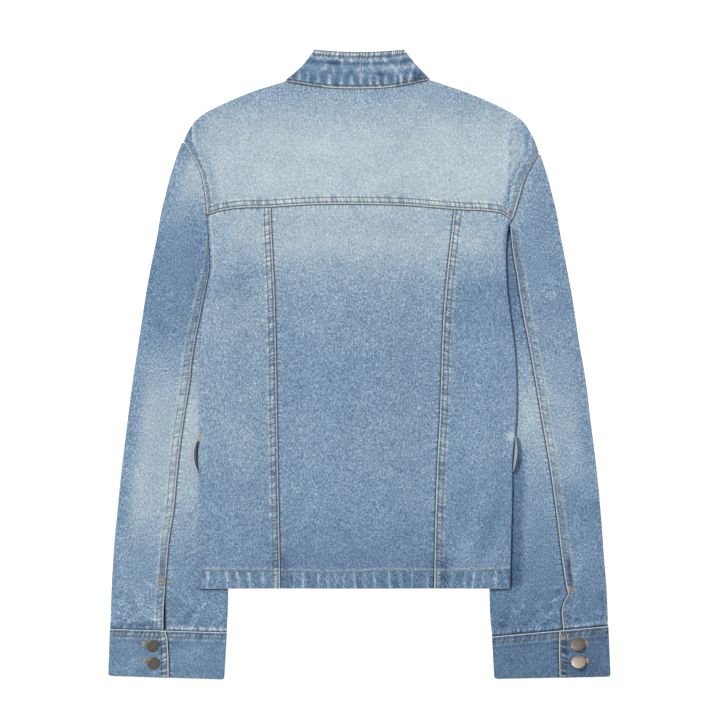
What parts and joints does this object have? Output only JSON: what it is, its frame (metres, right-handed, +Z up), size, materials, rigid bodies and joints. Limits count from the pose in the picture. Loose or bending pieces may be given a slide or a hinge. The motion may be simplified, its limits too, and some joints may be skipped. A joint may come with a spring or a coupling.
{
  "type": "denim jacket laid flat",
  "caption": "Washed denim jacket with a stand collar, laid flat on its front with its back up and its sleeves tucked under its sides.",
  "frame": {"origin": "centre of the laid-out jacket's outline, on the surface it lies on", "axes": "+Y from the hem to the collar, +Z up out of the back, +X towards the wearer's right sleeve"},
  "size_m": [0.6032, 0.756, 0.011],
  "materials": {
    "denim": "washed cotton twill, faded in patches",
    "trim_denim": "washed cotton twill, darker and doubled",
    "button_metal": "aged dark nickel, brushed"
  },
  "bodies": {
    "root": {"back_yoke": "denim", "back_centre": "denim", "back_side_left": "denim", "back_side_right": "denim", "front_left": "denim", "front_right": "denim", "collar": "trim_denim", "sleeve_top_left": "denim", "sleeve_top_right": "denim", "sleeve_under_left": "denim", "sleeve_under_right": "denim", "cuff_left": "trim_denim", "cuff_right": "trim_denim", "loop_left": "denim", "loop_right": "denim", "cuff_button_left_1": "button_metal", "cuff_button_left_2": "button_metal", "cuff_button_right_1": "button_metal", "cuff_button_right_2": "button_metal", "front_button_1": "button_metal", "front_button_2": "button_metal", "front_button_3": "button_metal", "front_button_4": "button_metal", "front_button_5": "button_metal", "front_button_6": "button_metal"}
  },
  "joints": []
}
